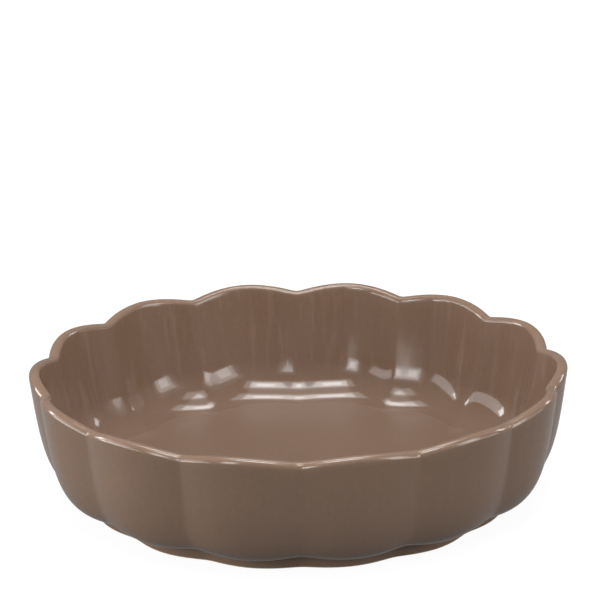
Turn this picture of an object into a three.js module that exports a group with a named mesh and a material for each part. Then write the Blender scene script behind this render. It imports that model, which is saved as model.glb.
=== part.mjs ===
// A deep round baking dish with a fluted wall: a stoneware body and the glaze fired onto it.
// Millimetres, standing on z = 0, axis on +Z, with a notch between two lobes at the front, -Y.
import * as THREE from "three";

// The lobes, seen from above.
const LOBES = 14;
const LOBE_POWER = 1.85;
const COLUMNS_PER_LOBE = 6;

// The wall, measured at the middle of a lobe on the finished surface.
const RIM_RADIUS = 140;
const WALL = 5.8;
const NOTCH_CREST = 65.5;
const LOBE_RISE = 3.5;
const LOBE_DEPTH_RIM = 4.6;
const LOBE_DEPTH_FOOT = 3.1;
const RIM_OUTER_ROUND = 3;
const RIM_INNER_ROUND = 2.5;
const BELLY_REACH = new THREE.Vector2(134, 7.6);
const SHOULDER_REACH = new THREE.Vector2(135.2, 31);

// The inside: the floor, the round corner at its edge, how far the corner's centre is set in from the belly's
// reach, and how far the wall leans out above the corner.
const FLOOR_LEVEL = 7.5;
const CORNER_RADIUS = 27;
const CORNER_INSET = 33.5;
const LEAN_AT_CORNER = THREE.MathUtils.degToRad(15);

// The foot ring, which arches up to the belly at the notches, and the shallow well that it encloses.
const FOOT_RADIUS = 111.4;
const FOOT_HEIGHT = 5.4;
const FOOT_ARCH = 1.7;
const ARCH_END = 15;
const FOOT_CHAMFER = 0.4;
const BARE_FOOT = 0.8;
const WELL_RADIUS = 97;
const WELL_DEPTH = 3;
const WELL_FILLET = 1.2;

const GLAZE = 0.5;

const WALL_STEPS = 7;
const INNER_WALL_STEPS = 4;
const CORNER_STEPS = 5;
const ROUND_STEPS = 3;
const COLUMNS = LOBES * COLUMNS_PER_LOBE;
const RIM_START = NOTCH_CREST - RIM_OUTER_ROUND;

const { lerp, smoothstep } = THREE.MathUtils;

// How much of a lobe there is at a column: 0 in a notch, 1 at the lobe's middle.
function lobeShare(column) {
  const across = (2 * (column % COLUMNS_PER_LOBE)) / COLUMNS_PER_LOBE - 1;
  return 1 - Math.abs(across) ** LOBE_POWER;
}

// A row of the surface: the profile's point, how far its notches cut in, how far its lobes rise above the
// notches, and how far its notches arch up from the foot.
function row(point, depth, arch) {
  const height = Math.min(1, Math.max(0, (point.y - FOOT_HEIGHT) / (RIM_START - FOOT_HEIGHT)));
  return { r: point.x, z: point.y, depth, rise: LOBE_RISE * height ** 3, arch };
}

function outsideRow(point) {
  const depth = lerp(LOBE_DEPTH_FOOT, LOBE_DEPTH_RIM, Math.min(1, point.y / RIM_START));
  const arch = smoothstep(point.y, BARE_FOOT, FOOT_HEIGHT) - smoothstep(point.y, FOOT_HEIGHT, ARCH_END);
  return row(point, depth, FOOT_ARCH * arch);
}

function insideRow(point) {
  return row(point, LOBE_DEPTH_RIM, 0);
}

function plainRow(r, z) {
  return { r, z, depth: 0, rise: 0, arch: 0 };
}

// The finished outside, up from the bare foot, round the belly and over to the rim's crest.
function outsideSkin() {
  const wall = new THREE.CubicBezierCurve(
    new THREE.Vector2(FOOT_RADIUS, FOOT_HEIGHT),
    BELLY_REACH,
    SHOULDER_REACH,
    new THREE.Vector2(RIM_RADIUS, RIM_START),
  );
  const rim = new THREE.EllipseCurve(
    RIM_RADIUS - RIM_OUTER_ROUND,
    RIM_START,
    RIM_OUTER_ROUND,
    RIM_OUTER_ROUND,
    0,
    Math.PI / 2,
  );
  return [
    new THREE.Vector2(FOOT_RADIUS, BARE_FOOT),
    ...wall.getPoints(WALL_STEPS),
    ...rim.getPoints(ROUND_STEPS).slice(1),
  ].map(outsideRow);
}

// The finished inside below the rim's crest, down the wall and over the floor to the axis.
function insideSkin() {
  const corner = new THREE.EllipseCurve(
    BELLY_REACH.x - CORNER_INSET,
    FLOOR_LEVEL + CORNER_RADIUS,
    CORNER_RADIUS,
    CORNER_RADIUS,
    -LEAN_AT_CORNER,
    -Math.PI / 2,
    true,
  );
  const wallFoot = corner.getPoint(0);
  const rimStart = new THREE.Vector2(RIM_RADIUS - WALL, NOTCH_CREST - RIM_INNER_ROUND);
  const half = (rimStart.y - wallFoot.y) / 2;
  const bend = new THREE.Vector2(wallFoot.x + half * Math.tan(LEAN_AT_CORNER), wallFoot.y + half);
  const leanAtRim = Math.atan2(rimStart.x - bend.x, half);
  const rim = new THREE.EllipseCurve(
    rimStart.x + RIM_INNER_ROUND,
    rimStart.y,
    RIM_INNER_ROUND,
    RIM_INNER_ROUND,
    Math.PI / 2,
    Math.PI - leanAtRim,
  );
  const wall = new THREE.QuadraticBezierCurve(rim.getPoint(1), bend, wallFoot);
  return [
    ...rim.getPoints(ROUND_STEPS).map(insideRow),
    ...wall.getPoints(INNER_WALL_STEPS).slice(1).map(insideRow),
    ...corner.getPoints(CORNER_STEPS).slice(1).map(insideRow),
    plainRow(0, FLOOR_LEVEL),
  ];
}

// The finished underside inside the foot ring, from the axis outwards.
function wellSkin() {
  const corner = new THREE.EllipseCurve(
    WELL_RADIUS - WELL_FILLET,
    WELL_DEPTH - WELL_FILLET,
    WELL_FILLET,
    WELL_FILLET,
    Math.PI / 2,
    0,
    true,
  );
  return [
    plainRow(0, WELL_DEPTH),
    ...corner.getPoints(2).map((point) => plainRow(point.x, point.y)),
    plainRow(WELL_RADIUS, BARE_FOOT),
  ];
}

// The same rows moved into the clay by the glaze's thickness, along the profile's own normal.
function underGlaze(skin) {
  return skin.map((here, i) => {
    const before = skin[Math.max(0, i - 1)];
    const after = skin[Math.min(skin.length - 1, i + 1)];
    const along = new THREE.Vector2(after.r - before.r, after.z - before.z).normalize();
    const onAxis = here.r === 0;
    return {
      ...here,
      r: onAxis ? 0 : here.r - GLAZE * along.y,
      z: onAxis ? here.z + GLAZE * Math.sign(along.x) : here.z + GLAZE * along.x,
    };
  });
}

// A closed surface from a run of strips, each strip joining two rows with its face to the right of the way.
function surfaceOf(strips) {
  const positions = [];
  const firstIndex = new Map();
  const indices = [];

  function indexOf(ring, column) {
    if (!firstIndex.has(ring)) {
      firstIndex.set(ring, positions.length / 3);
      const columns = ring.r === 0 ? 1 : COLUMNS;
      for (let c = 0; c < columns; c++) {
        const share = lobeShare(c);
        const radius = ring.r === 0 ? 0 : ring.r - ring.depth * (1 - share);
        const angle = (2 * Math.PI * c) / COLUMNS - Math.PI / 2;
        const height = ring.z + ring.rise * share + ring.arch * (1 - share);
        positions.push(radius * Math.cos(angle), radius * Math.sin(angle), height);
      }
    }
    return firstIndex.get(ring) + (ring.r === 0 ? 0 : column % COLUMNS);
  }

  for (const { from, to, reversed } of strips) {
    for (let c = 0; c < COLUMNS; c++) {
      const corners = [indexOf(from, c), indexOf(from, c + 1), indexOf(to, c + 1), indexOf(to, c)];
      const triangles = [
        [corners[0], corners[1], corners[2]],
        [corners[0], corners[2], corners[3]],
      ];
      for (const triangle of triangles.filter((t) => new Set(t).size === 3)) {
        indices.push(...(reversed ? triangle.reverse() : triangle));
      }
    }
  }
  const geometry = new THREE.BufferGeometry();
  geometry.setAttribute("position", new THREE.Float32BufferAttribute(positions, 3));
  geometry.setIndex(indices);
  geometry.computeVertexNormals();
  return geometry;
}

// The strips between each row of a run and the next; reversed turns their faces to the other side.
function run(rows, reversed = false) {
  return rows.slice(1).map((to, i) => ({ from: rows[i], to, reversed }));
}

// A coat of glaze: the finished skin, the clay side under it, and the edges that join the two.
function coat(skin, clay) {
  const edges = [run([clay[0], skin[0]])];
  if (skin.at(-1).r > 0) {
    edges.push(run([clay.at(-1), skin.at(-1)], true));
  }
  return surfaceOf([...run(skin), ...run(clay, true), ...edges.flat()]);
}

// The same for a coat that starts on the axis, where its two sides close without an edge.
function wellCoat(skin, clay) {
  return surfaceOf([...run(skin), ...run(clay, true), ...run([skin.at(-1), clay.at(-1)])]);
}

function piece(name, geometry, color, roughness) {
  const mesh = new THREE.Mesh(geometry, new THREE.MeshStandardMaterial({ color, roughness, metalness: 0 }));
  mesh.name = name;
  return mesh;
}

const outside = outsideSkin();
const skin = [...outside, ...insideSkin()];
const clay = underGlaze(skin);
const crest = outside.length - 1;
const well = wellSkin();
const wellClay = underGlaze(well);

const footOuter = clay[0];
const footInner = wellClay.at(-1);
const standingFace = [
  { ...footInner, r: footInner.r + FOOT_CHAMFER, z: 0 },
  { ...footOuter, r: footOuter.r - FOOT_CHAMFER, z: 0 },
];
const body = surfaceOf(run([...wellClay, ...standingFace, ...clay]));

const dish = new THREE.Group();
dish.name = "baking_dish";
dish.add(
  piece("stoneware_body", body, 0xd9cdb8, 0.85),
  piece("outside_glaze", coat(skin.slice(0, crest + 1), clay.slice(0, crest + 1)), 0x76604f, 0.15),
  piece("inside_glaze", coat(skin.slice(crest), clay.slice(crest)), 0x7d6555, 0.15),
  piece("foot_well_glaze", wellCoat(well, wellClay), 0x76604f, 0.2),
);

export default dish;
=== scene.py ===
"""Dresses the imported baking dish: clay body, fired glaze, studio and camera."""
import math
from typing import NamedTuple

import bmesh
import bpy
from bpy.props import FloatProperty, FloatVectorProperty, IntProperty, PointerProperty
from mathutils import Matrix, Vector
from mathutils.geometry import interpolate_bezier


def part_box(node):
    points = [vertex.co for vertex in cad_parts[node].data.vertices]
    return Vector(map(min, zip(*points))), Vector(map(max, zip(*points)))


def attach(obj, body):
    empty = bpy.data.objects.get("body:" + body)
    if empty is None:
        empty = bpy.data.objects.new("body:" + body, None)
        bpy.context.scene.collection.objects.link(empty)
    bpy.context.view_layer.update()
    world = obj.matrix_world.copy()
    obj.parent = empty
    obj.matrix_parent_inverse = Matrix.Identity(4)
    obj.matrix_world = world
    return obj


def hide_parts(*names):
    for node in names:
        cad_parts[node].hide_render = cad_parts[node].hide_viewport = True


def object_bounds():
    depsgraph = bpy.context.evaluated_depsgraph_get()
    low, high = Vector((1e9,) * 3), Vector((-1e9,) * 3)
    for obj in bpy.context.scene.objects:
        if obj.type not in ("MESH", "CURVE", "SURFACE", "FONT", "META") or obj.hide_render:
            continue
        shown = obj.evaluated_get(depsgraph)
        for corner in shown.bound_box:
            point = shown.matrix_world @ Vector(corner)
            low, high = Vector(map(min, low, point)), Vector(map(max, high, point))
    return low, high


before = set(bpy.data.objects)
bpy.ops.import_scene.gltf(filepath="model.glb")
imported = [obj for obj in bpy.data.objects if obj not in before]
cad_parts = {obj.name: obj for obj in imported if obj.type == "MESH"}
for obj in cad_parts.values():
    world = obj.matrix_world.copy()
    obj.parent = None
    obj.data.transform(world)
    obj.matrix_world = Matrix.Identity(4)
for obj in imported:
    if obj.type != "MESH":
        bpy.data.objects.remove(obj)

CAD_LOW, CAD_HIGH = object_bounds()
WELL_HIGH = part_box("foot_well_glaze")[1]

bl_info = {
    "name": "Fluted Baking Dish",
    "version": (1, 0, 0),
    "blender": (4, 5, 0),
    "location": "View3D > Sidebar > Baking Dish",
    "description": "Models a deep fluted stoneware dish, its glaze and a small studio",
    "category": "Object",
}

# How finely the profile is divided before it is turned.
FOOT_STEPS = 4
BELLY_POINTS = 44
RIM_OUTER_STEPS = 12
RIM_INNER_STEPS = 8
WALL_POINTS = 24
CORNER_STEPS = 28
WELL_STEPS = 6
FLOOR_SHARES = (0.75, 0.5, 0.25, 0.0)
WELL_SHARES = (0.0, 0.5)

# Tolerances: a point on the axis, two points that are one, the start of a lobe, and an edge that stays sharp.
ON_AXIS = 1e-6
SAME_POINT = 1e-7
LOBE_SLACK = 1e-6
SHARP_EDGE = math.radians(50)

# How steeply the lobes rise towards the rim, and over how many glaze thicknesses the floor's look fades.
RISE_POWER = 3
FLAT_FADE = 5

# The glaze's patterns: repeats per metre, and the ranges that they are read and shown in.
CLOUD_SCALE, CLOUD_DETAIL = 16.0, 4.0
GRAIN_SCALE, GRAIN_DETAIL = 420.0, 3.0
TONE_RANGE, TONE_SHADES = (0.6, 1.4), (0.93, 1.07)
GLOSS_RANGE, GLOSS_ROUGHNESS = (0.35, 0.65), (0.08, 0.12)
FLAT_ROUGHNESS = 0.3
SPECK_SCALE = 330.0
SPECK_EDGE, SPECK_CORE = 0.10, 0.04
SPECK_RARITY = 0.96
PEEL_SCALE, PEEL_DETAIL = 75.0, 1.0
GLAZE_BUMP_STRENGTH, GLAZE_BUMP_DEPTH = 0.05, 0.0006
GLAZE_IOR = 1.5

# The glaze's runs, shown as a ripple in the height and as pale lines painted into the colour as painted
# reflections: repeats per radian, the heights they fade in over, and the noise that shows as a painted line.
RUN_SCALE, RUN_DETAIL = 38.0, 2.0
RUNS_FADE_IN = (0.012, 0.030)
PAINTED_STREAK_LINES = (0.56, 0.72)

# The bare clay's patterns.
CLAY_GRAIN_SCALE, CLAY_GRAIN_DETAIL = 900.0, 5.0
GROG_SCALE = 600.0
CLAY_DARK_STOP, CLAY_DARK = 0.35, 0.78
CLAY_PALE_STOP, CLAY_PALE = 0.68, 1.12
CLAY_ROUGHNESS = (0.75, 0.95)
CLAY_BUMP_STRENGTH, CLAY_BUMP_DEPTH = 0.35, 0.0002

GLAZE_INPUTS = {
    "Glaze": "NodeSocketColor",
    "Thin": "NodeSocketColor",
    "Speck": "NodeSocketColor",
    "Thinness": "NodeSocketFloat",
    "Flatness": "NodeSocketFloat",
    "Painted streaks": "NodeSocketFloat",
}
GLAZE_OUTPUTS = {"Colour": "NodeSocketColor", "Roughness": "NodeSocketFloat", "Height": "NodeSocketFloat"}

SENSOR_WIDTH = 36.0


class Lamp(NamedTuple):
    """A lit panel that faces the dish: its place as seen from there, its size, and how bright it looks."""

    name: str
    azimuth: float
    elevation: float
    distance: float
    width: float
    height: float
    edge: float
    core: float = 0.0


# Azimuths turn from the front to the right, in degrees. A lamp with a core is brighter in its middle.
LAMPS = (
    Lamp("ceiling", azimuth=0.0, elevation=87.0, distance=1.35, width=0.75, height=1.26, edge=1.3),
    Lamp("top_front", azimuth=0.0, elevation=73.8, distance=1.3, width=1.1, height=0.46, edge=2.5, core=12.0),
    Lamp("top_back", azimuth=180.0, elevation=73.0, distance=1.3, width=1.0, height=0.38, edge=2.5, core=9.0),
    Lamp(
        "front_left", azimuth=-33.0, elevation=22.0, distance=1.6, width=0.75, height=1.2, edge=0.7, core=9.0
    ),
    Lamp("right", azimuth=66.0, elevation=23.0, distance=1.6, width=1.2, height=1.5, edge=0.6, core=6.0),
    Lamp("left", azimuth=-92.0, elevation=18.0, distance=1.6, width=1.7, height=0.8, edge=2.8),
    Lamp("left_low", azimuth=-80.0, elevation=3.2, distance=1.6, width=1.7, height=0.17, edge=11.0),
    Lamp("right_low", azimuth=80.0, elevation=3.2, distance=1.6, width=1.6, height=0.17, edge=4.0),
    Lamp("left_back", azimuth=-118.0, elevation=19.0, distance=1.6, width=0.3, height=0.4, edge=8.0),
    Lamp("right_back", azimuth=125.0, elevation=19.0, distance=1.6, width=0.3, height=0.4, edge=6.0),
)
CORE_PARTS = (0.65, 0.35)
CORE_STEP = 0.01


def length(name, description, default):
    """A length in metres, shown in the scene's units."""
    return FloatProperty(
        name=name, description=description, default=default, min=0.0, unit="LENGTH", precision=4
    )


def share(name, description, default):
    """A share of a whole, from 0 to 1."""
    return FloatProperty(
        name=name, description=description, default=default, min=0.0, max=1.0, subtype="FACTOR"
    )


def angle(name, description, degrees):
    """An angle, given here in degrees."""
    return FloatProperty(
        name=name, description=description, default=math.radians(degrees), subtype="ANGLE"
    )


def handle(name, description, default):
    """A point of the profile in metres: its radius and its height."""
    return FloatVectorProperty(
        name=name, description=description, default=default, size=2, unit="LENGTH", precision=4
    )


def colour(name, description, default):
    """A linear colour."""
    return FloatVectorProperty(
        name=name, description=description, default=default, size=3, min=0.0, max=1.0, subtype="COLOR"
    )


class DishShape(bpy.types.PropertyGroup):
    """Sizes of the dish, on the finished surface at the middle of a lobe."""

    lobes: IntProperty(name="Lobes", description="Lobes round the wall", default=14, min=3)
    columns: IntProperty(name="Columns", description="Columns of faces across one lobe", default=24, min=8)
    lobe_power: FloatProperty(
        name="Lobe power", description="How full a lobe is between its notches", default=1.85
    )
    crease_rim: share("Crease at the rim", "Rounding of the notches outside, as a share of half a lobe", 0.03)
    crease_foot: share("Crease at the foot", "The same at the foot, where the notches run out softly", 0.18)
    ridge: share("Ridge", "Rounding of the ridges inside, as a share of half a lobe", 0.16)
    rim_radius: length("Rim radius", "Axis to the outside of the rim", CAD_HIGH[0])
    wall: length("Wall", "Thickness of the wall at the rim", 0.0058)
    rim_outer_round: length("Rim outer round", "Radius of the rim's outer corner", 0.003)
    rim_inner_round: length("Rim inner round", "Radius of the rim's inner corner", 0.0025)
    height: length("Height", "Standing face to the crest of a lobe", CAD_HIGH[2])
    lobe_rise: length("Lobe rise", "How far a lobe's crest stands above a notch's", 0.0035)
    depth_rim: length("Notch depth at the rim", "How far a notch cuts in at the rim", 0.0046)
    depth_foot: length("Notch depth at the foot", "How far a notch cuts in at the foot", 0.0031)
    belly_reach: handle("Belly reach", "Radius and height that the belly curves out to", (0.134, 0.0076))
    shoulder_reach: handle("Shoulder reach", "Radius and height the wall curves up from", (0.1352, 0.031))
    floor_level: length("Floor level", "Standing face to the floor inside", 0.0075)
    lean_rim: angle("Lean at the rim", "How far the inside of the wall leans out below the rim", 8.9)
    lean_corner: angle("Lean at the corner", "How far it leans out above the round corner", 15.0)
    corner_radius: length("Corner radius", "Rounding between the inside of the wall and the floor", 0.027)
    inside_offset: length("Inside offset", "How far the inside sits to the right at the floor", 0.0004)
    foot_radius: length("Foot radius", "Axis to the outside of the foot ring", 0.1114)
    foot_height: length("Foot height", "Height of the foot ring, up to the belly", 0.0054)
    foot_arch: length("Foot arch", "How far the foot arches up to the belly at a notch", 0.0017)
    arch_end: length("Arch end", "Height where the belly no longer follows the arch", 0.015)
    bare_foot: length("Bare foot", "Height of the unglazed line above the standing face", 0.0008)
    chamfer: length("Foot chamfer", "Bevel on the edges of the standing face", 0.0004)
    well_radius: length("Well radius", "Axis to the side of the well under the dish", WELL_HIGH[0])
    well_depth: length("Well depth", "Standing face to the underside in the well", 0.003)
    well_fillet: length("Well fillet", "Rounding of the well's corner", 0.0012)
    glaze: length("Glaze", "Thickness of the glaze", 0.0005)


class DishFinish(bpy.types.PropertyGroup):
    """Colours of the glaze and the clay."""

    outside: colour("Outside glaze", "Glaze on the outside", (0.185, 0.118, 0.081))
    inside: colour("Inside glaze", "Glaze on the inside", (0.160, 0.0995, 0.0685))
    thin: colour("Thin glaze", "Glaze where it thins over an edge", (0.190, 0.122, 0.086))
    speck: colour("Specks", "Iron specks in the glaze", (0.070, 0.042, 0.030))
    clay: colour("Clay", "Bare fired clay", (0.520, 0.420, 0.310))
    # The runs' pale lines are painted reflections: light streaking down the glaze, painted into its colour.
    painted_streaks_outside: share("Painted streaks outside", "How pale the fine runs in the outside glaze are", 0.03)
    painted_streaks_inside: share("Painted streaks inside", "How pale the fine runs in the inside glaze are", 0.14)


class DishStudio(bpy.types.PropertyGroup):
    """Floor, surroundings and camera."""

    floor: colour("Floor", "Colour of the studio floor", (0.1, 0.1, 0.1))
    floor_reach: length("Floor reach", "Middle of the studio floor to its edge", 6.0)
    floor_lift: share("Floor lift", "White added to the floor where the camera sees it", 0.94)
    floor_mirrored: share("Floor mirrored", "Share of that white that shows in reflections", 0.22)
    surround: share("Surround", "Even light from all round", 0.2)
    elevation: angle("Elevation", "Camera's height above the horizon", 21.55)
    roll: angle("Roll", "Camera's tilt", -0.985)
    distance: length("Distance", "Camera to the middle of the dish's foot", 1.781)
    lens: FloatProperty(name="Lens", description="Focal length in millimetres", default=202.7)
    shift: FloatVectorProperty(
        name="Shift", description="Lens shift, as shares of the picture", default=(-0.0003, 0.3131), size=2
    )


def soft_distance(distance, softness):
    """Distance from a notch, from 0 to 1, with the notch rounded by softness."""
    return (math.hypot(distance, softness) - softness) / (math.hypot(1.0, softness) - softness)


def smooth(value, low, high):
    """0 below low, 1 above high, with an eased step between them."""
    t = min(1.0, max(0.0, (value - low) / (high - low)))
    return t * t * (3.0 - 2.0 * t)


def at(radius, height):
    """A point of the profile, in the XZ plane."""
    return Vector((radius, 0.0, height))


def arc(middle, radius, first, last, steps):
    """Points of a circle in the XZ plane between two angles."""
    turns = [first + (last - first) * i / steps for i in range(steps + 1)]
    return [middle + radius * at(math.cos(turn), math.sin(turn)) for turn in turns]


class Wall:
    """The wall's profile in the XZ plane, and how its lobes move a point of it."""

    def __init__(self, shape):
        self.shape = shape
        self.notch_crest = shape.height - shape.lobe_rise
        self.rim_start = self.notch_crest - shape.rim_outer_round

    def outside(self):
        """The finished outside, from the bare foot up to the rim's crest."""
        s = self.shape
        foot_rise = (s.foot_height - s.bare_foot) / FOOT_STEPS
        foot = [at(s.foot_radius, s.bare_foot + foot_rise * i) for i in range(FOOT_STEPS + 1)]
        rim_middle = at(s.rim_radius - s.rim_outer_round, self.rim_start)
        rim = arc(rim_middle, s.rim_outer_round, 0.0, math.pi / 2, RIM_OUTER_STEPS)
        handles = at(*s.belly_reach), at(*s.shoulder_reach)
        belly = interpolate_bezier(foot[-1], *handles, rim[0], BELLY_POINTS)
        return foot + belly[1:] + rim[1:]

    def inside(self):
        """The finished inside, from the rim's crest down to the axis."""
        s = self.shape
        crest = at(s.rim_radius - s.rim_outer_round, self.notch_crest)
        rim_middle = at(s.rim_radius - s.wall + s.rim_inner_round, self.notch_crest - s.rim_inner_round)
        rim = arc(rim_middle, s.rim_inner_round, math.pi / 2, math.pi - s.lean_rim, RIM_INNER_STEPS)
        top = rim[-1]
        corner_top = s.floor_level + s.corner_radius * (1 - math.sin(s.lean_corner))
        half = (top.z - corner_top) / 2
        bend = at(top.x - half * math.tan(s.lean_rim), top.z - half)
        foot = at(bend.x - half * math.tan(s.lean_corner), corner_top)
        # The bend is the one handle of a quadratic curve, given here as the two handles of a cubic.
        wall = interpolate_bezier(top, top.lerp(bend, 2 / 3), foot.lerp(bend, 2 / 3), foot, WALL_POINTS)
        middle = at(foot.x - s.corner_radius * math.cos(s.lean_corner), s.floor_level + s.corner_radius)
        corner = arc(middle, s.corner_radius, -s.lean_corner, -math.pi / 2, CORNER_STEPS)
        floor = [at(middle.x * part, s.floor_level) for part in FLOOR_SHARES]
        return [crest] + rim + wall[1:] + corner[1:] + floor

    def well(self):
        """The finished underside in the well, from the axis out to the bare foot."""
        s = self.shape
        middle = at(s.well_radius - s.well_fillet, s.well_depth - s.well_fillet)
        floor = [at(s.well_radius * part, s.well_depth) for part in WELL_SHARES]
        corner = arc(middle, s.well_fillet, math.pi / 2, 0.0, WELL_STEPS)
        return floor + corner + [at(s.well_radius, s.bare_foot)]

    def under_glaze(self, skin):
        """The clay side of a glazed run, set in by the glaze along the profile's normal."""
        moved = []
        for i, point in enumerate(skin):
            along = (skin[min(i + 1, len(skin) - 1)] - skin[max(i - 1, 0)]).normalized()
            inwards = at(-along.z, along.x)
            if point.x < ON_AXIS:
                inwards = at(0.0, math.copysign(1.0, along.x))
            moved.append(point + inwards * self.shape.glaze)
        return moved

    def softness(self, radius, height, inner):
        """How rounded the notches are at a point: crisp outside at the rim, softer at the foot and inside."""
        s = self.shape
        crease = s.crease_foot + (s.crease_rim - s.crease_foot) * min(1.0, height / self.rim_start)
        over_rim = float(inner)
        if height >= self.rim_start:
            over_rim = min(1.0, max(0.0, (s.rim_radius - radius) / s.wall))
        return crease + (s.ridge - crease) * over_rim

    def move(self, point, inner):
        """Moves a turned point onto the lobes; returns how far the glaze is thin or lies flat there."""
        s = self.shape
        radius = math.hypot(point.x, point.y)
        height = point.z
        above_well = height > (s.well_depth + s.floor_level) / 2
        thin = smooth(height, self.notch_crest - s.rim_inner_round, self.notch_crest)
        flat = 0.0
        if inner:
            flat = 1 - smooth(height, s.floor_level + s.glaze, s.floor_level + FLAT_FADE * s.glaze)
        if radius < ON_AXIS:
            return thin, flat
        step = 2 * math.pi / s.lobes
        turn = math.atan2(point.y, point.x) + math.pi / 2
        lobe = math.floor(turn / step + LOBE_SLACK)
        # The columns crowd towards the notches, where the wall bends most.
        across = math.sin((2 * (turn / step - lobe) - 1) * math.pi / 2)
        turn = (lobe + (across + 1) / 2) * step - math.pi / 2
        from_notch = soft_distance(1 - abs(across), self.softness(radius, height, inner))
        lobed = 1 - (1 - from_notch) ** s.lobe_power

        if inner:
            depth = s.depth_rim * smooth(radius, 0.0, s.foot_radius) if above_well else 0.0
            arch = 0.0
        else:
            depth = s.depth_foot + (s.depth_rim - s.depth_foot) * min(1.0, height / self.rim_start)
            arch = smooth(height, s.bare_foot, s.foot_height) - smooth(height, s.foot_height, s.arch_end)
        climb = min(1.0, max(0.0, (height - s.foot_height) / (self.rim_start - s.foot_height)))
        radius -= depth * (1 - lobed)
        point.x = radius * math.cos(turn)
        point.y = radius * math.sin(turn)
        point.z += s.lobe_rise * climb ** RISE_POWER * lobed + s.foot_arch * arch * (1 - lobed)
        if inner and above_well:
            point.x += s.inside_offset * (1 - climb)
        return thin, flat


def turned(name, wall, loop, inner_rows, closed):
    """A mesh object from a profile turned about Z, with each row moved onto the lobes."""
    shape = wall.shape
    bm = bmesh.new()
    thin = bm.verts.layers.float.new("glaze_thin")
    flat = bm.verts.layers.float.new("glaze_flat")
    inner = bm.verts.layers.int.new("inner")
    verts = [bm.verts.new(point) for point in loop]
    for vert, is_inner in zip(verts, inner_rows):
        vert[inner] = is_inner
    edges = [bm.edges.new(pair) for pair in zip(verts, verts[1:])]
    if closed:
        edges.append(bm.edges.new((verts[-1], verts[0])))
    bmesh.ops.spin(
        bm, geom=verts + edges, axis=(0, 0, 1), cent=(0, 0, 0), dvec=(0, 0, 0), angle=2 * math.pi,
        space=Matrix.Identity(4), steps=shape.lobes * shape.columns, use_merge=True, use_normal_flip=False,
        use_duplicate=False,
    )
    bmesh.ops.remove_doubles(bm, verts=bm.verts[:], dist=SAME_POINT)
    bmesh.ops.recalc_face_normals(bm, faces=bm.faces[:])
    for vert in bm.verts:
        vert[thin], vert[flat] = wall.move(vert.co, vert[inner])
    for face in bm.faces:
        face.smooth = True
    for edge in bm.edges:
        if len(edge.link_faces) == 2 and edge.calc_face_angle(0.0) > SHARP_EDGE:
            edge.smooth = False
    mesh = bpy.data.meshes.new(name)
    bm.to_mesh(mesh)
    bm.free()
    made = bpy.data.objects.new(name, mesh)
    bpy.context.scene.collection.objects.link(made)
    return made


def add_node(tree, kind, place, **values):
    """A node of that kind at that place in the tree."""
    node = tree.nodes.new(kind)
    node.location = place
    for key, value in values.items():
        setattr(node, key, value)
    return node


def add_noise(tree, place, vector, scale, detail):
    """Noise over the given coordinates; returns its value."""
    noise = add_node(tree, "ShaderNodeTexNoise", place)
    noise.inputs["Scale"].default_value = scale
    noise.inputs["Detail"].default_value = detail
    tree.links.new(vector, noise.inputs["Vector"])
    return noise.outputs["Fac"]


def add_range(tree, place, value, read, shown=(0.0, 1.0), easing="LINEAR"):
    """A value read in one range and shown in another; returns the result."""
    ranged = add_node(tree, "ShaderNodeMapRange", place, interpolation_type=easing)
    ranged.inputs["From Min"].default_value, ranged.inputs["From Max"].default_value = read
    ranged.inputs["To Min"].default_value, ranged.inputs["To Max"].default_value = shown
    tree.links.new(value, ranged.inputs["Value"])
    return ranged.outputs["Result"]


def add_math(tree, place, operation, *terms):
    """A sum, product or the like of sockets and plain numbers; returns the result."""
    node = add_node(tree, "ShaderNodeMath", place, operation=operation)
    for socket, term in zip(node.inputs, terms):
        if isinstance(term, float):
            socket.default_value = term
        else:
            tree.links.new(term, socket)
    return node.outputs[0]


def iron_specks(tree, where):
    """Rare round specks: 1 in the middle of a speck, 0 around it."""
    cells = add_node(tree, "ShaderNodeTexVoronoi", (-850, -300))
    cells.inputs["Scale"].default_value = SPECK_SCALE
    chosen = add_node(tree, "ShaderNodeSeparateColor", (-600, -500))
    tree.links.new(where, cells.inputs["Vector"])
    tree.links.new(cells.outputs["Color"], chosen.inputs["Color"])
    dot = add_range(tree, (-600, -250), cells.outputs["Distance"], (SPECK_EDGE, SPECK_CORE))
    rare = add_math(tree, (-420, -500), "GREATER_THAN", chosen.outputs[0], SPECK_RARITY)
    return add_math(tree, (-200, -350), "MULTIPLY", dot, rare)


def runs_and_painted_streaks(tree, where):
    """Fine runs down the wall: a ripple for the height, and pale lines painted into the colour as painted
    reflections of light streaking down the wall.
    """
    apart = add_node(tree, "ShaderNodeSeparateXYZ", (-850, -700))
    level = add_node(tree, "ShaderNodeCombineXYZ", (-650, -700))
    around = add_node(tree, "ShaderNodeVectorMath", (-450, -700), operation="NORMALIZE")
    upright = add_node(tree, "ShaderNodeCombineXYZ", (-450, -850))
    streaked = add_node(tree, "ShaderNodeVectorMath", (-250, -700), operation="ADD")
    link = tree.links.new
    link(where, apart.inputs[0])
    link(apart.outputs["X"], level.inputs["X"])
    link(apart.outputs["Y"], level.inputs["Y"])
    link(apart.outputs["Z"], upright.inputs["Z"])
    link(level.outputs[0], around.inputs[0])
    link(around.outputs[0], streaked.inputs[0])
    link(upright.outputs[0], streaked.inputs[1])
    streaks = add_noise(tree, (-50, -700), streaked.outputs[0], RUN_SCALE, RUN_DETAIL)
    on_wall = add_range(tree, (-50, -950), apart.outputs["Z"], RUNS_FADE_IN, easing="SMOOTHSTEP")
    ripple = add_math(tree, (200, -750), "MULTIPLY", streaks, on_wall)
    # Pale lines painted into the colour along the runs: painted reflections.
    painted_streaks = add_range(tree, (200, -550), streaks, PAINTED_STREAK_LINES)
    return ripple, add_math(tree, (400, -550), "MULTIPLY", painted_streaks, on_wall)


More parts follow.
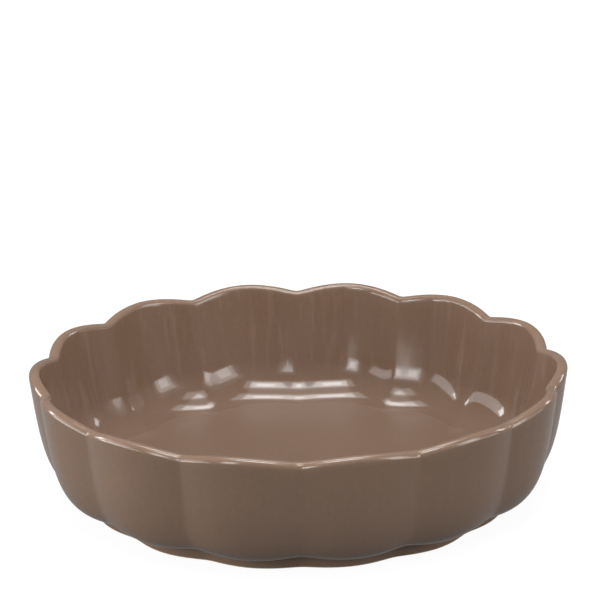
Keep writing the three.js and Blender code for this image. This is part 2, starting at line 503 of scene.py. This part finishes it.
def fired_glaze_group():
    """Colour, roughness and height of a fired glaze: clouds, thin edges, specks, runs with pale painted
    reflections along them, and orange peel.
    """
    found = bpy.data.node_groups.get("Fired glaze")
    if found:
        return found
    tree = bpy.data.node_groups.new("Fired glaze", "ShaderNodeTree")
    for name, kind in GLAZE_INPUTS.items():
        tree.interface.new_socket(name, in_out="INPUT", socket_type=kind)
    for name, kind in GLAZE_OUTPUTS.items():
        tree.interface.new_socket(name, in_out="OUTPUT", socket_type=kind)
    given = add_node(tree, "NodeGroupInput", (-1100, 0))
    put = add_node(tree, "NodeGroupOutput", (900, 0))
    where = add_node(tree, "ShaderNodeTexCoord", (-1100, -300)).outputs["Object"]
    link = tree.links.new

    cloud = add_noise(tree, (-850, 250), where, CLOUD_SCALE, CLOUD_DETAIL)
    grain = add_noise(tree, (-850, 0), where, GRAIN_SCALE, GRAIN_DETAIL)
    tone = add_math(tree, (-600, 150), "ADD", cloud, grain)
    shade = add_range(tree, (-420, 150), tone, TONE_RANGE, TONE_SHADES)
    speck = iron_specks(tree, where)
    ripple, painted_streaks = runs_and_painted_streaks(tree, where)
    # Brightens the colour along the lines: painted streak reflections.
    painted_streak_scale = add_math(tree, (600, -550), "MULTIPLY_ADD", painted_streaks, given.outputs["Painted streaks"], 1.0)

    coat = add_node(tree, "ShaderNodeMix", (-600, 450), data_type="RGBA")
    link(given.outputs["Thinness"], coat.inputs["Factor"])
    link(given.outputs["Glaze"], coat.inputs["A"])
    link(given.outputs["Thin"], coat.inputs["B"])
    toned = add_node(tree, "ShaderNodeVectorMath", (-200, 350), operation="SCALE")
    link(coat.outputs["Result"], toned.inputs[0])
    link(shade, toned.inputs["Scale"])
    flecked = add_node(tree, "ShaderNodeMix", (100, 350), data_type="RGBA")
    link(speck, flecked.inputs["Factor"])
    link(toned.outputs[0], flecked.inputs["A"])
    link(given.outputs["Speck"], flecked.inputs["B"])
    # The colour made paler along the painted streak reflections.
    with_painted_streaks = add_node(tree, "ShaderNodeVectorMath", (600, 350), operation="SCALE")
    link(flecked.outputs["Result"], with_painted_streaks.inputs[0])
    link(painted_streak_scale, with_painted_streaks.inputs["Scale"])
    link(with_painted_streaks.outputs[0], put.inputs["Colour"])

    gloss = add_range(tree, (100, 50), cloud, GLOSS_RANGE, GLOSS_ROUGHNESS)
    settled = add_math(tree, (300, 50), "MULTIPLY_ADD", given.outputs["Flatness"], FLAT_ROUGHNESS, gloss)
    link(settled, put.inputs["Roughness"])

    peel = add_noise(tree, (-200, -100), where, PEEL_SCALE, PEEL_DETAIL)
    pitted = add_math(tree, (300, -150), "SUBTRACT", peel, speck)
    height = add_math(tree, (500, -300), "ADD", pitted, ripple)
    link(height, put.inputs["Height"])
    return tree


def add_bump(tree, place, strength, depth, height, surface):
    """A bump of that depth from a height, on the surface's normal."""
    bump = add_node(tree, "ShaderNodeBump", place)
    bump.inputs["Strength"].default_value = strength
    bump.inputs["Distance"].default_value = depth
    tree.links.new(height, bump.inputs["Height"])
    tree.links.new(bump.outputs["Normal"], surface.inputs["Normal"])


def glaze_material(name, base, streaks, finish):
    """Glossy glaze over the clay, in its own base colour and with its own share of painted streak reflections
    along the runs.
    """
    material = bpy.data.materials.new(name)
    material.use_nodes = True
    tree = material.node_tree
    surface = tree.nodes["Principled BSDF"]
    surface.inputs["IOR"].default_value = GLAZE_IOR
    glaze = add_node(tree, "ShaderNodeGroup", (-500, 200), node_tree=fired_glaze_group())
    glaze.inputs["Glaze"].default_value = (*base, 1.0)
    glaze.inputs["Thin"].default_value = (*finish.thin, 1.0)
    glaze.inputs["Speck"].default_value = (*finish.speck, 1.0)
    # How pale the painted streak reflections along the runs are.
    glaze.inputs["Painted streaks"].default_value = streaks
    thin = add_node(tree, "ShaderNodeAttribute", (-750, 0), attribute_name="glaze_thin")
    flat = add_node(tree, "ShaderNodeAttribute", (-750, -200), attribute_name="glaze_flat")
    tree.links.new(thin.outputs["Fac"], glaze.inputs["Thinness"])
    tree.links.new(flat.outputs["Fac"], glaze.inputs["Flatness"])
    tree.links.new(glaze.outputs["Colour"], surface.inputs["Base Color"])
    tree.links.new(glaze.outputs["Roughness"], surface.inputs["Roughness"])
    height = glaze.outputs["Height"]
    add_bump(tree, (-250, -150), GLAZE_BUMP_STRENGTH, GLAZE_BUMP_DEPTH, height, surface)
    return material


def clay_material(base):
    """Bare fired stoneware: matt, grainy, with fine grog showing."""
    material = bpy.data.materials.new("Bare stoneware")
    material.use_nodes = True
    tree = material.node_tree
    surface = tree.nodes["Principled BSDF"]
    where = add_node(tree, "ShaderNodeTexCoord", (-1000, 0)).outputs["Object"]
    grain = add_noise(tree, (-800, 150), where, CLAY_GRAIN_SCALE, CLAY_GRAIN_DETAIL)
    grog = add_node(tree, "ShaderNodeTexVoronoi", (-800, -150))
    grog.inputs["Scale"].default_value = GROG_SCALE
    tone = add_node(tree, "ShaderNodeValToRGB", (-550, 150))
    dark, pale = tone.color_ramp.elements
    dark.position = CLAY_DARK_STOP
    dark.color = (*[part * CLAY_DARK for part in base], 1.0)
    pale.position = CLAY_PALE_STOP
    pale.color = (*[min(1.0, part * CLAY_PALE) for part in base], 1.0)
    rough = add_range(tree, (-550, -50), grain, (0.0, 1.0), CLAY_ROUGHNESS)
    height = add_math(tree, (-550, -300), "ADD", grain, grog.outputs["Distance"])
    tree.links.new(where, grog.inputs["Vector"])
    tree.links.new(grain, tone.inputs["Fac"])
    tree.links.new(tone.outputs["Color"], surface.inputs["Base Color"])
    tree.links.new(rough, surface.inputs["Roughness"])
    add_bump(tree, (-250, -200), CLAY_BUMP_STRENGTH, CLAY_BUMP_DEPTH, height, surface)
    return material


def dress(piece, node, material):
    """Gives a piece its material and hangs it on the frame in place of a CAD node."""
    piece.data.materials.append(material)
    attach(piece, "root")
    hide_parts(node)


class DISH_OT_body(bpy.types.Operator):
    """Turn the stoneware body, which shows where the foot ring is bare"""

    bl_idname = "dish.body"
    bl_label = "Stoneware Body"

    def execute(self, context):
        shape = context.scene.dish_shape
        wall = Wall(shape)
        well = wall.under_glaze(wall.well())
        outside = wall.outside()
        inside = wall.inside()
        skin = wall.under_glaze(outside + inside[1:])
        standing = [at(well[-1].x + shape.chamfer, 0.0), at(skin[0].x - shape.chamfer, 0.0)]
        inner_rows = [1] * (len(well) + 1) + [0] * (1 + len(outside)) + [1] * (len(inside) - 1)
        body = turned("clay_body", wall, well + standing + skin, inner_rows, closed=False)
        dress(body, "stoneware_body", clay_material(context.scene.dish_finish.clay))
        return {"FINISHED"}


class DISH_OT_outside_glaze(bpy.types.Operator):
    """Coat the outside, from the bare foot to the rim's crest"""

    bl_idname = "dish.outside_glaze"
    bl_label = "Outside Glaze"

    def execute(self, context):
        wall = Wall(context.scene.dish_shape)
        finish = context.scene.dish_finish
        outside = wall.outside()
        clay = wall.under_glaze(outside + wall.inside()[1:])[:len(outside)]
        loop = outside + clay[::-1]
        coat = turned("outside_coat", wall, loop, [0] * len(loop), closed=True)
        glaze = glaze_material("Outside glaze", finish.outside, finish.painted_streaks_outside, finish)
        dress(coat, "outside_glaze", glaze)
        return {"FINISHED"}


class DISH_OT_inside_glaze(bpy.types.Operator):
    """Coat the inside, from the rim's crest over the floor"""

    bl_idname = "dish.inside_glaze"
    bl_label = "Inside Glaze"

    def execute(self, context):
        wall = Wall(context.scene.dish_shape)
        finish = context.scene.dish_finish
        outside = wall.outside()
        inside = wall.inside()
        clay = wall.under_glaze(outside + inside[1:])[len(outside) - 1:]
        loop = inside[::-1] + clay
        coat = turned("inside_coat", wall, loop, [1] * len(loop), closed=False)
        glaze = glaze_material("Inside glaze", finish.inside, finish.painted_streaks_inside, finish)
        dress(coat, "inside_glaze", glaze)
        return {"FINISHED"}


class DISH_OT_well_glaze(bpy.types.Operator):
    """Coat the shallow well under the dish"""

    bl_idname = "dish.well_glaze"
    bl_label = "Well Glaze"

    def execute(self, context):
        wall = Wall(context.scene.dish_shape)
        finish = context.scene.dish_finish
        well = wall.well()
        loop = well + wall.under_glaze(well)[::-1]
        coat = turned("well_coat", wall, loop, [1] * len(loop), closed=False)
        glaze = glaze_material("Well glaze", finish.outside, 0.0, finish)
        dress(coat, "foot_well_glaze", glaze)
        return {"FINISHED"}


def floor_material(studio):
    """Grey floor with the dish's shadow, lifted to white for the camera and a little in reflections."""
    material = bpy.data.materials.new("Studio floor")
    material.use_nodes = True
    tree = material.node_tree
    tree.nodes.clear()
    matt = add_node(tree, "ShaderNodeBsdfDiffuse", (-100, 150))
    matt.inputs["Color"].default_value = (*studio.floor, 1.0)
    rays = add_node(tree, "ShaderNodeLightPath", (-700, 0)).outputs
    direct = add_math(tree, (-500, 0), "MAXIMUM", rays["Is Camera Ray"], rays["Is Transmission Ray"])
    mirrored = add_math(tree, (-500, -180), "MULTIPLY", rays["Is Glossy Ray"], studio.floor_mirrored)
    seen = add_math(tree, (-300, -50), "MAXIMUM", direct, mirrored)
    lift = add_math(tree, (-100, -50), "MULTIPLY", seen, studio.floor_lift)
    white = add_node(tree, "ShaderNodeEmission", (100, -50))
    both = add_node(tree, "ShaderNodeAddShader", (300, 100))
    out = add_node(tree, "ShaderNodeOutputMaterial", (500, 100))
    tree.links.new(lift, white.inputs["Strength"])
    tree.links.new(matt.outputs[0], both.inputs[0])
    tree.links.new(white.outputs[0], both.inputs[1])
    tree.links.new(both.outputs[0], out.inputs["Surface"])
    return material


def add_floor(scene, studio):
    """A wide floor under the dish, which belongs to the stage."""
    bm = bmesh.new()
    bmesh.ops.create_grid(bm, x_segments=1, y_segments=1, size=studio.floor_reach)
    mesh = bpy.data.meshes.new("studio_floor")
    bm.to_mesh(mesh)
    bm.free()
    floor = bpy.data.objects.new("studio_floor", mesh)
    floor.data.materials.append(floor_material(studio))
    scene.collection.objects.link(floor)


def add_panel(scene, name, lamp, distance, part, radiance):
    """A rectangular light, a part of the lamp's size; the radiance is what a mirror would show of it."""
    turn, rise = math.radians(lamp.azimuth), math.radians(lamp.elevation)
    towards = Vector((math.sin(turn) * math.cos(rise), -math.cos(turn) * math.cos(rise), math.sin(rise)))
    data = bpy.data.lights.new(name, "AREA")
    data.shape = "RECTANGLE"
    data.size = part * lamp.width
    data.size_y = part * lamp.height
    data.energy = radiance * math.pi * data.size * data.size_y
    light = bpy.data.objects.new(name, data)
    light.location = towards * distance
    light.rotation_euler = towards.to_track_quat("Z", "Y").to_euler()
    scene.collection.objects.link(light)


def add_lamp(scene, lamp):
    """The lamp's even panel and, where it has a core, smaller panels in front of it."""
    add_panel(scene, lamp.name, lamp, lamp.distance, 1.0, lamp.edge)
    if not lamp.core:
        return
    for i, part in enumerate(CORE_PARTS, start=1):
        nearer = lamp.distance - CORE_STEP * i
        add_panel(scene, f"{lamp.name}_core_{i}", lamp, nearer, part, lamp.core / len(CORE_PARTS))


def add_surround(scene, studio):
    """White light from all round."""
    world = bpy.data.worlds.new("Studio")
    world.use_nodes = True
    background = world.node_tree.nodes["Background"]
    background.inputs["Color"].default_value = (1.0, 1.0, 1.0, 1.0)
    background.inputs["Strength"].default_value = studio.surround
    scene.world = world


def add_camera(scene, studio):
    """The camera in front of the dish, a little above it."""
    data = bpy.data.cameras.new("Camera")
    data.sensor_width = SENSOR_WIDTH
    data.lens = studio.lens
    data.shift_x, data.shift_y = studio.shift
    camera = bpy.data.objects.new("Camera", data)
    away = Vector((0.0, -math.cos(studio.elevation), math.sin(studio.elevation)))
    tilt = Matrix.Rotation(math.pi / 2 - studio.elevation, 4, "X") @ Matrix.Rotation(studio.roll, 4, "Z")
    camera.matrix_world = Matrix.Translation(away * studio.distance) @ tilt
    scene.collection.objects.link(camera)
    scene.camera = camera


class DISH_OT_studio(bpy.types.Operator):
    """Set the dish on a pale floor with soft light and a camera"""

    bl_idname = "dish.studio"
    bl_label = "Studio"

    def execute(self, context):
        scene = context.scene
        add_floor(scene, scene.dish_studio)
        for lamp in LAMPS:
            add_lamp(scene, lamp)
        add_surround(scene, scene.dish_studio)
        add_camera(scene, scene.dish_studio)
        scene.view_settings.view_transform = "Standard"
        return {"FINISHED"}


class DISH_PT_panel(bpy.types.Panel):
    """Lists the dish's sizes, colours and pieces"""

    bl_idname = "DISH_PT_panel"
    bl_label = "Baking Dish"
    bl_space_type = "VIEW_3D"
    bl_region_type = "UI"
    bl_category = "Baking Dish"

    def draw(self, context):
        for operator in OPERATORS:
            self.layout.operator(operator.bl_idname)
        for group in (context.scene.dish_shape, context.scene.dish_finish, context.scene.dish_studio):
            column = self.layout.column(align=True)
            for name in group.bl_rna.properties.keys():
                if name not in {"rna_type", "name"}:
                    column.prop(group, name)


GROUPS = {"dish_shape": DishShape, "dish_finish": DishFinish, "dish_studio": DishStudio}
OPERATORS = (DISH_OT_body, DISH_OT_outside_glaze, DISH_OT_inside_glaze, DISH_OT_well_glaze, DISH_OT_studio)


def register():
    for group in GROUPS.values():
        bpy.utils.register_class(group)
    for operator in OPERATORS:
        bpy.utils.register_class(operator)
    bpy.utils.register_class(DISH_PT_panel)
    for name, group in GROUPS.items():
        setattr(bpy.types.Scene, name, PointerProperty(type=group))


def unregister():
    for name in GROUPS:
        delattr(bpy.types.Scene, name)
    bpy.utils.unregister_class(DISH_PT_panel)
    for operator in reversed(OPERATORS):
        bpy.utils.unregister_class(operator)
    for group in reversed(GROUPS.values()):
        bpy.utils.unregister_class(group)


def main():
    register()
    bpy.ops.dish.body()
    bpy.ops.dish.outside_glaze()
    bpy.ops.dish.inside_glaze()
    bpy.ops.dish.well_glaze()
    bpy.ops.dish.studio()


if __name__ == "__main__":
    main()
